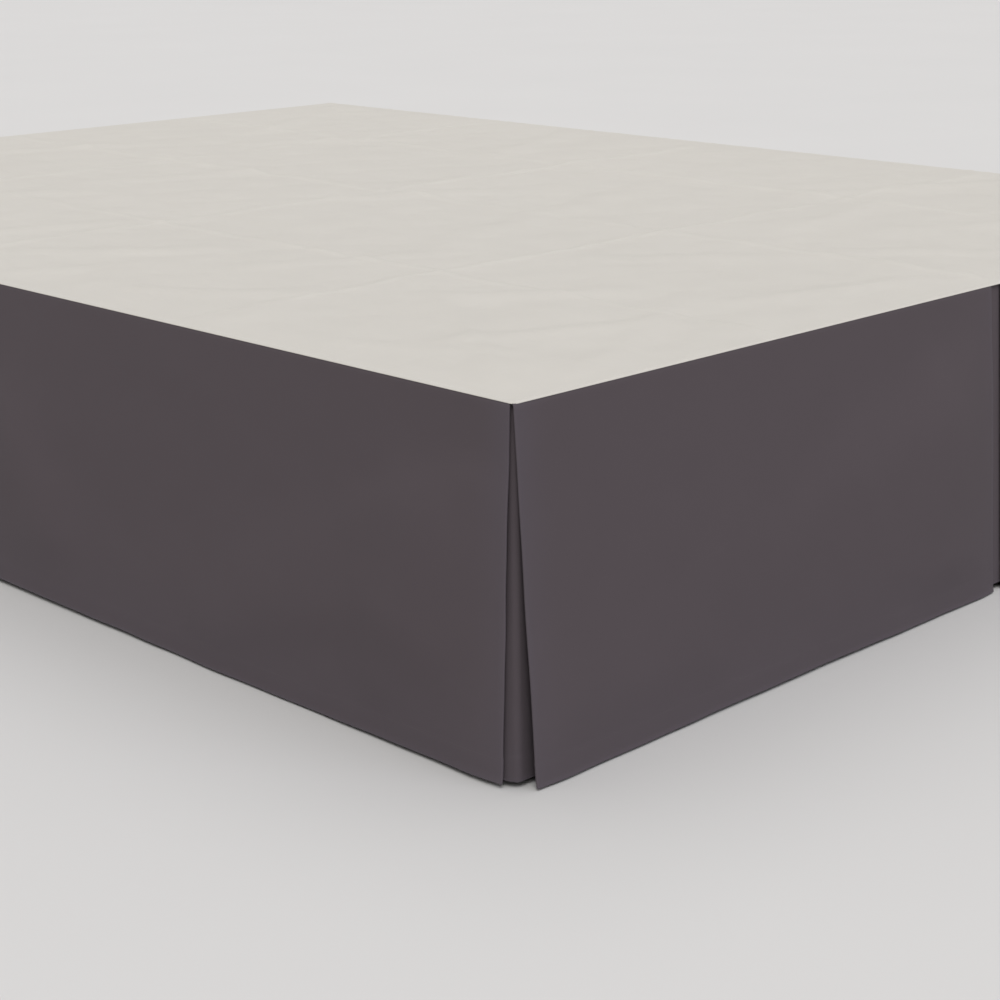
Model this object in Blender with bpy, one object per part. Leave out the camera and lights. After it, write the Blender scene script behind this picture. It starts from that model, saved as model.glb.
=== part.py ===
"""A tailored queen-size bed skirt, hanging round its bed base.

Metres, +Z up, the floor at z = 0.  X runs across the bed and Y along it: the foot end faces -Y, and
the head end, which has no drop, faces +Y.  The origin is on the floor under the middle of the whole.

The skirt is a flat deck that lies on the base, three drops sewn under its edge (left, foot and
right), and an underlay behind each foot corner, where two drops meet in an inverted pleat.  Each
drop has one more inverted pleat at its middle.  The base is a box foundation on a steel frame.

A point on a drop is given by how far it is along its side from a foot corner (the foot's from the
left one), how far down it is from the seam (0) to the hem (1), and how far it stands out from the
deck's edge.
"""
import math

import bmesh
import bpy
from mathutils import Vector

INCH = 0.0254

# The skirt's driving dimensions.
DECK_WIDTH = 60 * INCH
DECK_LENGTH = 80 * INCH
DROP = 14 * INCH
HEM_CLEARANCE = 0.0034           # mean height of the hems above the floor
CLOTH = 0.001                    # thickness of every cloth solid
AIR = 0.0003                     # between pieces that rest on each other or are sewn together
LAYER = 0.0018                   # from the middle of one layer of a pleat to the next
FOLD_RADIUS = 0.0007             # of a pressed fold, at the middle of the cloth
FOLD_STEPS = 2                   # flat facets in a quarter turn of a fold
PLEAT_DEPTH = 4 * INCH           # how far a pleat's hidden cloth reaches behind each flap
SEAM_WIDTH = 0.012               # where a return and an underlay lie together
DECK_CORNER = 0.006              # radius of the deck's corners
LEAN_ROOM = 0.0225               # furthest reach of the foot's hem beyond the deck's edge

SEAM_Z = DROP + HEM_CLEARANCE
DECK_BOTTOM = SEAM_Z + AIR
DECK_TOP = DECK_BOTTOM + CLOTH
FOOT_Y = -DECK_LENGTH / 2 + LEAN_ROOM / 2
MIDDLE_Y = FOOT_Y + DECK_LENGTH / 2

# The base's driving dimensions.
BASE_INSET = 0.25 * INCH         # the foundation is this much smaller than the deck, on each side
BASE_HEIGHT = 7.5 * INCH
BASE_CORNER = 0.025
BASE_EDGE = 0.006
STEEL = 0.003                    # wall of the angle bars
BAR_LEG = 1.5 * INCH             # width of each leg of the angle bars
RAIL_INSET = 0.02                # from the foundation's side to the side rails
RAIL_END_INSET = 0.045           # from the foundation's ends to the side rails' ends
CROSS_BARS = {"head": 0.78, "middle": 0.0, "foot": -0.78}      # along Y, from the middle
LEG_RADIUS = 0.0135
LEG_SPARE = 0.004                # between a leg and the steel beside it
GLIDE_HEIGHT = 0.022
GLIDE_RADIUS = 0.024
GLIDE_TOP_RADIUS = 0.018
ROUND_STEPS = 20

BASE_WIDTH = DECK_WIDTH - 2 * BASE_INSET
BASE_LENGTH = DECK_LENGTH - 2 * BASE_INSET
BASE_TOP = DECK_BOTTOM - AIR
BASE_BOTTOM = BASE_TOP - BASE_HEIGHT
RAIL_TOP = BASE_BOTTOM - AIR
BAR_TOP = RAIL_TOP - STEEL - AIR
LEG_TOP = BAR_TOP - STEEL - AIR
RAIL_X = BASE_WIDTH / 2 - RAIL_INSET                            # outer face of the side rails
LEG_X = RAIL_X - STEEL - AIR - LEG_SPARE - LEG_RADIUS

# Each side of the deck: the corner it is measured from, the way along it and the way out from it.
SIDES = {
    "left": ((-DECK_WIDTH / 2, FOOT_Y), (0, 1), (-1, 0)),
    "foot": ((-DECK_WIDTH / 2, FOOT_Y), (1, 0), (0, -1)),
    "right": ((DECK_WIDTH / 2, FOOT_Y), (0, 1), (1, 0)),
}

# The hem of each drop: how far along, how far out from the deck's edge, how high above the floor.
HEMS = {
    "left": (
        (0.00, 0.0160, 0.0054), (0.14, 0.0146, 0.0043), (0.29, 0.0146, 0.0026),
        (0.45, 0.0150, 0.0030), (0.63, 0.0145, 0.0048), (0.84, 0.0140, 0.0060),
        (1.02, 0.0150, 0.0040), (1.40, 0.0138, 0.0030), (1.75, 0.0146, 0.0046),
        (2.04, 0.0120, 0.0036)),
    "foot": (
        (0.00, 0.0226, 0.0024), (0.15, 0.0210, 0.0026), (0.30, 0.0195, 0.0038),
        (0.47, 0.0182, 0.0040), (0.66, 0.0178, 0.0028), (0.76, 0.0182, 0.0020),
        (0.98, 0.0180, 0.0036), (1.28, 0.0186, 0.0028), (1.53, 0.0205, 0.0032)),
    "right": (
        (0.00, 0.0146, 0.0040), (0.25, 0.0150, 0.0030), (0.60, 0.0138, 0.0044),
        (1.02, 0.0150, 0.0034), (1.38, 0.0142, 0.0046), (1.70, 0.0150, 0.0030),
        (2.04, 0.0122, 0.0040)),
}

# The pressed fold edges: where each is along its side, at the seam and at the hem.
FOLDS = {
    "left corner": (0.0060, 0.0050), "left middle near": (1.008, 1.003),
    "left middle far": (1.024, 1.030),
    "foot left corner": (0.0008, 0.0070), "foot middle near": (0.7462, 0.7635),
    "foot middle far": (0.7662, 0.7833), "foot right corner": (1.5228, 1.5190),
    "right corner": (0.0036, 0.0048), "right middle near": (1.007, 1.004),
    "right middle far": (1.025, 1.031),
}

# Soft swells of the hanging cloth: the crest runs from (along, down) to (along, down) in metres, then
# come the half width above the crest, the half width below it, and how far the crest stands out. A
# hollow stands out by less than nothing.
SWELLS = {
    "left": (
        (0.112, 0.147, 0.130, 0.215, 0.062, 0.080, 0.0112),
        (0.20, 0.220, 0.42, 0.300, 0.064, 0.036, 0.0054),
        (0.48, 0.180, 0.65, 0.195, 0.110, 0.090, -0.0022),
        (0.795, 0.210, 0.745, 0.270, 0.070, 0.046, 0.0072),
        (1.10, 0.120, 1.38, 0.250, 0.070, 0.080, 0.0052),
        (1.95, 0.130, 1.64, 0.260, 0.065, 0.080, 0.0056)),
    "foot": (
        (0.64, 0.145, 0.52, 0.177, 0.058, 0.100, 0.0081),
        (0.46, 0.272, 0.20, 0.172, 0.085, 0.063, 0.0029),
        (0.22, 0.284, 0.07, 0.292, 0.068, 0.037, 0.0035),
        (0.67, 0.210, 0.666, 0.288, 0.092, 0.036, 0.0072),
        (0.90, 0.140, 1.10, 0.250, 0.070, 0.080, 0.0050),
        (1.46, 0.125, 1.24, 0.240, 0.060, 0.080, 0.0056)),
    "right": (
        (0.07, 0.130, 0.36, 0.250, 0.060, 0.080, 0.0058),
        (0.92, 0.120, 0.62, 0.260, 0.070, 0.075, 0.0052),
        (1.12, 0.140, 1.46, 0.260, 0.065, 0.080, 0.0056),
        (1.94, 0.130, 1.68, 0.250, 0.065, 0.075, 0.0050)),
}
CURL = 0.0020                    # how far a flap turns in beside its fold edge, low down
CURL_WIDTH = 0.022

# The cloth at the back of a middle pleat, and the underlay at a foot corner.
BACK_LEAN = {"left": 0.0105, "foot": 0.0140, "right": 0.0105}                  # from seam to hem
BACK_HEM = 0.0080                # above the floor
UNDERLAY_LEAN = {"left": 0.0131, "foot": 0.0096, "right": 0.0111, "corner": 0.0063}
UNDERLAY_HEM = 0.0070
UNDERLAY_RADIUS = 0.007          # of its bend at the corner
UNDERLAY_BOW = (0.024, 0.019, 0.0145, 0.010)     # where it turns in towards the corner, from there
UNDERLAY_SPARE = 0.004           # how far it reaches past a pleat's depth from the corner

ROWS = (0.0, 0.14, 0.30, 0.46, 0.63, 0.81, 1.0)                # down a drop, from seam to hem
PANEL_STEPS = {"left": 13, "foot": 10, "right": 13}            # along each panel of a drop


def clear_scene():
    for thing in list(bpy.data.objects):
        bpy.data.objects.remove(thing, do_unlink=True)


def material(name, colour, roughness, metallic=0.0):
    made = bpy.data.materials.new(name)
    made.use_nodes = True
    shader = made.node_tree.nodes["Principled BSDF"]
    shader.inputs["Base Color"].default_value = (*colour, 1.0)
    shader.inputs["Roughness"].default_value = roughness
    shader.inputs["Metallic"].default_value = metallic
    made.diffuse_color = (*colour, 1.0)
    return made


def add_object(name, mesh, stuff, smooth_angle=None):
    """A named object made from a bmesh, which is freed."""
    bmesh.ops.recalc_face_normals(mesh, faces=mesh.faces)
    data = bpy.data.meshes.new(name)
    mesh.to_mesh(data)
    mesh.free()
    data.materials.append(stuff)
    if smooth_angle is not None:
        data.shade_smooth()
        data.set_sharp_from_angle(angle=math.radians(smooth_angle))
    made = bpy.data.objects.new(name, data)
    bpy.context.collection.objects.link(made)
    return made


# Where a point of a hanging drop lies.

def eased(stations, along, column):
    """A column of a table of stations, eased from one station to the next."""
    for near, far in zip(stations, stations[1:]):
        if along <= far[0]:
            share = (along - near[0]) / (far[0] - near[0])
            share = 0.5 - 0.5 * math.cos(math.pi * min(max(share, 0.0), 1.0))
            return near[column] + (far[column] - near[column]) * share
    return stations[-1][column]


def swell(side, along, down):
    """How far the soft swells lift the cloth, fading out at the seam."""
    here = Vector((along, down * DROP))
    total = 0.0
    for x0, z0, x1, z1, above, below, height in SWELLS[side]:
        start = Vector((x0, z0))
        run = Vector((x1, z1)) - start
        share = min(max((here - start).dot(run) / run.length_squared, 0.0), 1.0)
        beside, lower = here - start - run * share
        away = math.hypot(beside / (above + below) * 2, lower / (below if lower > 0 else above))
        total += height * math.exp(-away * away)
    return total * min(1.0, down * 5)


def fold_at(name, down):
    seam, hem = FOLDS[name]
    return seam + (hem - seam) * down


def flap_out(side, along, down, folds=()):
    """How far the outer layer stands out; beside a fold edge it turns in a little."""
    out = eased(HEMS[side], along, 1) * down + swell(side, along, down)
    for name in folds:
        away = abs(along - fold_at(name, down)) / CURL_WIDTH
        out -= CURL * min(1.0, down * 1.5) * math.exp(-away * away)
    return out


def underlay_out(place, down):
    """How far a corner's underlay stands out along a side, or at its bend."""
    return -2 * LAYER + UNDERLAY_LEAN[place] * down


def hem_up(side, along):
    return eased(HEMS[side], along, 2)


# A drop's path in plan at one height is a list of corners: along, out, hem height, fold radius.

def panel(side, begin, end, down, folds):
    """The outer layer between two columns, without its ends."""
    steps = PANEL_STEPS[side]
    path = []
    for step in range(1, steps):
        along = begin + (end - begin) * step / steps
        path.append((along, flap_out(side, along, down, folds), hem_up(side, along), 0.0))
    return path


def flap_fold(side, name, down, folds, outward):
    """The pressed edge of a flap, from its return to its outer layer or the other way round."""
    along = fold_at(name, down)
    out = flap_out(side, along, down, folds)
    edge = [(along, out - LAYER, hem_up(side, along), FOLD_RADIUS),
            (along, out, hem_up(side, along), FOLD_RADIUS)]
    return edge if outward else edge[::-1]


def hidden_fold(side, along, down, outward):
    """The fold at the back of a middle pleat, between its back and the return."""
    out = -2 * LAYER + BACK_LEAN[side] * down
    edge = [(along, out, BACK_HEM, FOLD_RADIUS), (along, out + LAYER, BACK_HEM, FOLD_RADIUS)]
    return edge if outward else edge[::-1]


def middle_pleat(side, near, far, down, folds):
    """An inverted pleat, between the fold edge nearer the start of the path and the one beyond."""
    return (flap_fold(side, near, down, folds, outward=False)
            + hidden_fold(side, fold_at(near, down) - PLEAT_DEPTH, down, outward=False)
            + hidden_fold(side, fold_at(far, down) + PLEAT_DEPTH, down, outward=True)
            + flap_fold(side, far, down, folds, outward=True))


def return_end(side, edge, way, down):
    """The end of a return at a foot corner, where it is sewn along the underlay's end."""
    along = edge + way * PLEAT_DEPTH
    sewn = underlay_out(side, down) + CLOTH + AIR
    return [(along - way * SEAM_WIDTH, sewn, UNDERLAY_HEM, 0.0), (along, sewn, UNDERLAY_HEM, 0.0)]


def side_path(side, down):
    """A long side's drop, from its corner return round the flap to its plain head end."""
    folds = (f"{side} corner", f"{side} middle near", f"{side} middle far")
    corner, near, far = (fold_at(name, down) for name in folds)
    return (return_end(side, corner, 1, down)[::-1]
            + flap_fold(side, folds[0], down, folds, outward=True)
            + panel(side, corner, near, down, folds)
            + middle_pleat(side, folds[1], folds[2], down, folds)
            + panel(side, far, DECK_LENGTH, down, folds)
            + [(DECK_LENGTH, flap_out(side, DECK_LENGTH, down), hem_up(side, DECK_LENGTH), 0.0)])


def foot_path(down):
    """The foot's drop, with a flap and a return at both corners."""
    folds = ("foot left corner", "foot middle near", "foot middle far", "foot right corner")
    first, near, far, last = (fold_at(name, down) for name in folds)
    return (return_end("foot", first, 1, down)[::-1]
            + flap_fold("foot", folds[0], down, folds, outward=True)
            + panel("foot", first, near, down, folds)
            + middle_pleat("foot", folds[1], folds[2], down, folds)
            + panel("foot", far, last, down, folds)
            + flap_fold("foot", folds[3], down, folds, outward=False)
            + return_end("foot", last, -1, down))


def on_side(side, along, out):
    corner, way_along, way_out = SIDES[side]
    return Vector((corner[0] + way_along[0] * along + way_out[0] * out,
                   corner[1] + way_along[1] * along + way_out[1] * out))


def placed(side, path):
    return [(on_side(side, along, out), hem, radius) for along, out, hem, radius in path]


def underlay_corners(side, down):
    """The path of a corner's underlay: along the long side, in to the corner, along the foot."""
    out, corner, foot_out = (underlay_out(place, down) for place in (side, "corner", "foot"))
    reach = PLEAT_DEPTH + UNDERLAY_SPARE
    near, way = (DECK_WIDTH, -1) if side == "right" else (0.0, 1)
    path = [(on_side(side, reach, out), UNDERLAY_HEM, 0.0)]
    for distance in UNDERLAY_BOW:
        turned_in = (1 - distance / UNDERLAY_BOW[0]) ** 2
        path.append((on_side(side, distance - foot_out, out + (corner - out) * turned_in),
                     UNDERLAY_HEM, 0.0))
    path.append((on_side("foot", near - way * corner, foot_out), UNDERLAY_HEM, UNDERLAY_RADIUS))
    path.append((on_side("foot", near + way * reach, foot_out), UNDERLAY_HEM, 0.0))
    return path


def rounded(corners):
    """A path with each corner turned on its radius; the hem height runs evenly along it."""
    path = []
    for index, (here, hem, radius) in enumerate(corners):
        if radius == 0.0:
            path.append((here, hem))
            continue
        before = (corners[index - 1][0] - here).normalized()
        after = (corners[index + 1][0] - here).normalized()
        half = before.angle(after) / 2
        centre = here + (before + after).normalized() * (radius / math.sin(half))
        start = here + before * (radius / math.tan(half)) - centre
        end = here + after * (radius / math.tan(half)) - centre
        turn = math.atan2(start.cross(end), start.dot(end))
        steps = FOLD_STEPS * (2 if radius > LAYER else 1)
        for step in range(steps + 1):
            angle = turn * step / steps
            spoke = Vector((start.x * math.cos(angle) - start.y * math.sin(angle),
                            start.x * math.sin(angle) + start.y * math.cos(angle)))
            path.append((centre + spoke, hem))
    return path


def thickened(path):
    """The two faces of the cloth in plan, half its thickness to each side of the path."""
    faces = []
    last = len(path) - 1
    for index, (here, hem) in enumerate(path):
        before = (here - path[max(index - 1, 0)][0]) if index else (path[1][0] - here)
        after = (path[min(index + 1, last)][0] - here) if index < last else before
        before, after = before.normalized(), after.normalized()
        across = Vector((-(before.y + after.y), before.x + after.x)).normalized()
        reach = CLOTH / 2 / max(0.5, across.dot(Vector((-before.y, before.x))))
        faces.append((here + across * reach, here - across * reach, hem))
    return faces


def hanging_cloth(name, path_at, stuff):
    """One closed solid lofted down through the paths at each of the rows."""
    mesh = bmesh.new()
    loft = []
    for down in ROWS:
        row = []
        for one, other, hem in thickened(rounded(path_at(down))):
            z = SEAM_Z + (hem - SEAM_Z) * down
            row.append((mesh.verts.new((*one, z)), mesh.verts.new((*other, z))))
        loft.append(row)
    for upper, lower in zip(loft, loft[1:]):
        for column in range(len(upper) - 1):
            for face in (0, 1):
                mesh.faces.new((upper[column][face], upper[column + 1][face],
                                lower[column + 1][face], lower[column][face]))
        for column in (0, -1):
            mesh.faces.new((upper[column][0], upper[column][1], lower[column][1], lower[column][0]))
    for row in (loft[0], loft[-1]):
        for left, right in zip(row, row[1:]):
            mesh.faces.new((left[0], left[1], right[1], right[0]))
    return add_object(name, mesh, stuff, smooth_angle=40)


def build_drops(stuff):
    for side in ("left", "right"):
        hanging_cloth(f"drop_{side}", lambda down: placed(side, side_path(side, down)), stuff)
    hanging_cloth("drop_foot", lambda down: placed("foot", foot_path(down)), stuff)


def build_underlays(stuff):
    for side in ("left", "right"):
        hanging_cloth(f"underlay_{side}", lambda down: underlay_corners(side, down), stuff)


def slab(name, outline, bottom, top, stuff, smooth_angle=None):
    """A level slab with the given outline."""
    mesh = bmesh.new()
    rings = [[mesh.verts.new((x, y, z)) for x, y in outline] for z in (bottom, top)]
    for ring in rings:
        mesh.faces.new(ring)
    for index in range(len(outline)):
        after = (index + 1) % len(outline)
        mesh.faces.new((rings[0][index], rings[0][after], rings[1][after], rings[1][index]))
    return add_object(name, mesh, stuff, smooth_angle)


def rounded_rectangle(half_width, half_length, radius, steps):
    """Its corners are quarter turns, and its middle is under the deck's middle."""
    outline = []
    for quarter, (sign_x, sign_y) in enumerate(((1, 1), (-1, 1), (-1, -1), (1, -1))):
        for step in range(steps + 1):
            angle = math.pi / 2 * (quarter + step / steps)
            outline.append((sign_x * (half_width - radius) + radius * math.cos(angle),
                            MIDDLE_Y + sign_y * (half_length - radius) + radius * math.sin(angle)))
    return outline


def build_deck(stuff):
    edge = CLOTH / 2             # the deck reaches the outer face of the drops below it
    outline = rounded_rectangle(DECK_WIDTH / 2 + edge, DECK_LENGTH / 2 + edge, DECK_CORNER, 4)
    slab("deck", outline, DECK_BOTTOM, DECK_TOP, stuff)


def build_foundation(stuff):
    mesh = bmesh.new()
    outline = rounded_rectangle(BASE_WIDTH / 2, BASE_LENGTH / 2, BASE_CORNER, 6)
    levels = ((BASE_BOTTOM, BASE_EDGE), (BASE_BOTTOM + BASE_EDGE, 0.0),
              (BASE_TOP - BASE_EDGE, 0.0), (BASE_TOP, BASE_EDGE))
    rings = []
    for z, inset in levels:
        shrink_x = 1 - inset / (BASE_WIDTH / 2)
        shrink_y = 1 - inset / (BASE_LENGTH / 2)
        rings.append([mesh.verts.new((x * shrink_x, MIDDLE_Y + (y - MIDDLE_Y) * shrink_y, z))
                      for x, y in outline])
    mesh.faces.new(rings[0])
    mesh.faces.new(rings[-1])
    for low, high in zip(rings, rings[1:]):
        for index in range(len(outline)):
            after = (index + 1) % len(outline)
            mesh.faces.new((low[index], low[after], high[after], high[index]))
    add_object("foundation", mesh, stuff, smooth_angle=50)


def angle_bar(name, corner, along, across, length, stuff):
    """A steel angle: one leg level under the corner line, the other hanging down from it."""
    profile = ((0, 0), (BAR_LEG, 0), (BAR_LEG, -STEEL), (STEEL, -STEEL), (STEEL, -BAR_LEG),
               (0, -BAR_LEG))
    mesh = bmesh.new()
    rings = []
    for reach in (0, length):
        start = corner + along * reach
        rings.append([mesh.verts.new(start + across * x + Vector((0, 0, z))) for x, z in profile])
    for ring in rings:
        mesh.faces.new(ring)
    for index in range(len(profile)):
        after = (index + 1) % len(profile)
        mesh.faces.new((rings[0][index], rings[0][after], rings[1][after], rings[1][index]))
    add_object(name, mesh, stuff)


def build_rails(stuff):
    length = BASE_LENGTH - 2 * RAIL_END_INSET
    for name, sign in (("rail_left", -1), ("rail_right", 1)):
        corner = Vector((sign * RAIL_X, MIDDLE_Y - length / 2, RAIL_TOP))
        angle_bar(name, corner, Vector((0, 1, 0)), Vector((-sign, 0, 0)), length, stuff)


def build_cross_bars(stuff):
    reach = RAIL_X - STEEL - AIR
    for place, y in CROSS_BARS.items():
        corner = Vector((-reach, MIDDLE_Y + y, BAR_TOP))
        angle_bar(f"cross_bar_{place}", corner, Vector((1, 0, 0)), Vector((0, 1, 0)), 2 * reach, stuff)


def turned(name, place, profile, stuff):
    """A round piece from a profile of (radius, height), bottom to top, on a vertical axis."""
    mesh = bmesh.new()
    rings = []
    for radius, height in profile:
        ring = []
        for step in range(ROUND_STEPS):
            angle = 2 * math.pi * step / ROUND_STEPS
            ring.append(mesh.verts.new((radius * math.cos(angle), radius * math.sin(angle), height)))
        rings.append(ring)
    mesh.faces.new(rings[0])
    mesh.faces.new(rings[-1])
    for low, high in zip(rings, rings[1:]):
        for index in range(ROUND_STEPS):
            after = (index + 1) % ROUND_STEPS
            mesh.faces.new((low[index], low[after], high[after], high[index]))
    made = add_object(name, mesh, stuff, smooth_angle=35)
    made.location = place


def build_legs(steel, plastic):
    """Three legs under each cross bar, beside its hanging web, each on a moulded glide."""
    beside_web = STEEL + LEG_SPARE + LEG_RADIUS
    leg = ((LEG_RADIUS, GLIDE_HEIGHT + AIR), (LEG_RADIUS, LEG_TOP))
    glide = ((GLIDE_RADIUS - 0.002, 0.0), (GLIDE_RADIUS, 0.002), (GLIDE_RADIUS, 0.007),
             (GLIDE_TOP_RADIUS, GLIDE_HEIGHT - 0.002), (GLIDE_TOP_RADIUS - 0.002, GLIDE_HEIGHT))
    for row, y in CROSS_BARS.items():
        for column, x in (("left", -LEG_X), ("middle", 0.0), ("right", LEG_X)):
            place = Vector((x, MIDDLE_Y + y + beside_web, 0.0))
            turned(f"leg_{row}_{column}", place, leg, steel)
            turned(f"glide_{row}_{column}", place, glide, plastic)


def main():
    clear_scene()
    poplin = material("skirt_poplin", (0.086, 0.071, 0.080), 0.85)
    platform = material("platform_cloth", (0.60, 0.58, 0.54), 0.9)
    ticking = material("ticking", (0.72, 0.71, 0.68), 0.85)
    steel = material("frame_steel", (0.035, 0.033, 0.032), 0.45, 0.6)
    plastic = material("glide_plastic", (0.02, 0.02, 0.02), 0.5)
    build_deck(platform)
    build_drops(poplin)
    build_underlays(poplin)
    build_foundation(ticking)
    build_rails(steel)
    build_cross_bars(steel)
    build_legs(steel, plastic)


main()
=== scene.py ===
import math

import bpy
import numpy as np
from mathutils import Matrix, Vector


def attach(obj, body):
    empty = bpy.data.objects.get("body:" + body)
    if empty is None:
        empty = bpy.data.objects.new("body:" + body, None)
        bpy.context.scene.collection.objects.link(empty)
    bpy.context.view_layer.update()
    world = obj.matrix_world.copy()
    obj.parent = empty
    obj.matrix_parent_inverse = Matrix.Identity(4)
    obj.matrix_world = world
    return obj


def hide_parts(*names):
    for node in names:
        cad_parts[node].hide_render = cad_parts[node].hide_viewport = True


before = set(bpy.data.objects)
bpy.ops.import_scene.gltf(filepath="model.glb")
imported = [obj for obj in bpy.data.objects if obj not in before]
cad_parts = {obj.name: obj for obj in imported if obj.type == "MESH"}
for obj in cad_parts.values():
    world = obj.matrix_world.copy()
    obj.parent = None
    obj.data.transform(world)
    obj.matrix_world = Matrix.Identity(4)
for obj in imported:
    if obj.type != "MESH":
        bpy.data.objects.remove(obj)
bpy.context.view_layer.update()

# A bed skirt: a deck on a foundation, a drop sewn under three of the deck's edges, and an underlay
# behind the pleat at each foot corner. All lengths are in metres.

# The part's own sizes.
INCH = 0.0254
DECK_WIDTH = 60 * INCH
DECK_LENGTH = 80 * INCH
DROP = 14 * INCH
LAYER = 0.0018                   # from the middle of one layer of a pleat to the next
PLEAT_DEPTH = 4 * INCH
SEAM_Z = 0.3590                  # where the drops meet the deck
DECK_Z = 0.3596                  # middle of the deck's cloth
FOOT_Y = -1.00475
HEAD_Y = FOOT_Y + DECK_LENGTH
MIDDLE_Y = FOOT_Y + DECK_LENGTH / 2
BASE_WIDTH = DECK_WIDTH - 0.5 * INCH
BASE_LENGTH = DECK_LENGTH - 0.5 * INCH
BASE_TOP = 0.3590
BASE_BOTTOM = 0.1685
BASE_CORNER = 0.025

# Each side of the deck: the corner it is measured from, the way along it and the way out from it.
SIDES = {
    "left": ((-DECK_WIDTH / 2, FOOT_Y), (0, 1), (-1, 0)),
    "foot": ((-DECK_WIDTH / 2, FOOT_Y), (1, 0), (0, -1)),
    "right": ((DECK_WIDTH / 2, FOOT_Y), (0, 1), (1, 0)),
}

# The hem of each drop: how far along, how far out from the deck's edge, how high above the floor.
HEMS = {
    "left": (
        (0.00, 0.0160, 0.0054), (0.14, 0.0146, 0.0043), (0.29, 0.0146, 0.0026),
        (0.45, 0.0150, 0.0030), (0.63, 0.0145, 0.0048), (0.84, 0.0140, 0.0060),
        (1.02, 0.0150, 0.0040), (1.40, 0.0138, 0.0030), (1.75, 0.0146, 0.0046),
        (2.04, 0.0120, 0.0036)),
    "foot": (
        (0.00, 0.0226, 0.0024), (0.15, 0.0210, 0.0026), (0.30, 0.0195, 0.0038),
        (0.47, 0.0182, 0.0040), (0.66, 0.0178, 0.0028), (0.76, 0.0182, 0.0020),
        (0.98, 0.0180, 0.0036), (1.28, 0.0186, 0.0028), (1.53, 0.0205, 0.0032)),
    "right": (
        (0.00, 0.0146, 0.0040), (0.25, 0.0150, 0.0030), (0.60, 0.0138, 0.0044),
        (1.02, 0.0150, 0.0034), (1.38, 0.0142, 0.0046), (1.70, 0.0150, 0.0030),
        (2.04, 0.0122, 0.0040)),
}

# The pressed fold edges: where each is along its side, at the seam and at the hem.
FOLDS = {
    "left corner": (0.0060, 0.0050), "left middle near": (1.008, 1.003),
    "left middle far": (1.024, 1.030),
    "foot left corner": (0.0008, 0.0070), "foot middle near": (0.7462, 0.7635),
    "foot middle far": (0.7662, 0.7833), "foot right corner": (1.5228, 1.5190),
    "right corner": (0.0036, 0.0048), "right middle near": (1.007, 1.004),
    "right middle far": (1.025, 1.031),
}
CORNER_FOLD_HIGHLIGHT = 1.0               # strength of the painted highlight beside the folds at the foot corners
MIDDLE_FOLD_HIGHLIGHT = 0.3

# Soft swells of the hanging cloth: the crest from (along, down) to (along, down), the half widths
# above and below it, and how far it stands out. A hollow stands out by less than nothing.
SWELLS = {
    "left": (
        (0.112, 0.147, 0.130, 0.215, 0.062, 0.080, 0.0112),
        (0.20, 0.220, 0.42, 0.300, 0.064, 0.036, 0.0054),
        (0.48, 0.180, 0.65, 0.195, 0.110, 0.090, -0.0022),
        (0.795, 0.210, 0.745, 0.270, 0.070, 0.046, 0.0072),
        (1.10, 0.120, 1.38, 0.250, 0.070, 0.080, 0.0052),
        (1.95, 0.130, 1.64, 0.260, 0.065, 0.080, 0.0056)),
    "foot": (
        (0.64, 0.145, 0.52, 0.177, 0.058, 0.100, 0.0081),
        (0.46, 0.272, 0.20, 0.172, 0.085, 0.063, 0.0029),
        (0.22, 0.284, 0.07, 0.292, 0.068, 0.037, 0.0035),
        (0.67, 0.210, 0.666, 0.288, 0.092, 0.036, 0.0072),
        (0.90, 0.140, 1.10, 0.250, 0.070, 0.080, 0.0050),
        (1.46, 0.125, 1.24, 0.240, 0.060, 0.080, 0.0056)),
    "right": (
        (0.07, 0.130, 0.36, 0.250, 0.060, 0.080, 0.0058),
        (0.92, 0.120, 0.62, 0.260, 0.070, 0.075, 0.0052),
        (1.12, 0.140, 1.46, 0.260, 0.065, 0.080, 0.0056),
        (1.94, 0.130, 1.68, 0.250, 0.065, 0.075, 0.0050)),
}
# Narrow soft creases over them, in the same way.
CREASES = {
    "left": (
        (0.054, 0.080, 0.175, 0.130, 0.020, 0.046, 0.0036),
        (0.218, 0.152, 0.356, 0.234, 0.028, 0.046, 0.0029),
        (0.121, 0.174, 0.171, 0.288, 0.035, 0.031, 0.0028),
        (0.810, 0.144, 0.744, 0.221, 0.032, 0.040, 0.0030),
        (1.16, 0.080, 1.30, 0.190, 0.022, 0.030, 0.0012),
        (1.90, 0.100, 1.74, 0.200, 0.024, 0.030, 0.0014)),
    "foot": (
        (0.51, 0.108, 0.386, 0.205, 0.023, 0.039, 0.0012),
        (0.69, 0.089, 0.636, 0.097, 0.041, 0.056, 0.0032),
        (0.604, 0.229, 0.574, 0.272, 0.037, 0.038, 0.0027),
        (0.92, 0.090, 1.02, 0.170, 0.024, 0.030, 0.0012),
        (1.42, 0.070, 1.30, 0.160, 0.022, 0.030, 0.0014)),
    "right": (
        (0.03, 0.060, 0.17, 0.130, 0.020, 0.028, 0.0015),
        (0.86, 0.090, 0.72, 0.190, 0.026, 0.034, 0.0011),
        (1.20, 0.100, 1.36, 0.200, 0.024, 0.032, 0.0012),
        (1.92, 0.090, 1.80, 0.180, 0.022, 0.028, 0.0013)),
}
CURL = 0.0020                    # how far a flap turns in beside its fold edge, low down
CURL_WIDTH = 0.022
SWELL_RATE = 5                   # swells grow to their height over a fifth of the drop
CURL_RATE = 1.5                  # and the curl over two thirds of it

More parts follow.
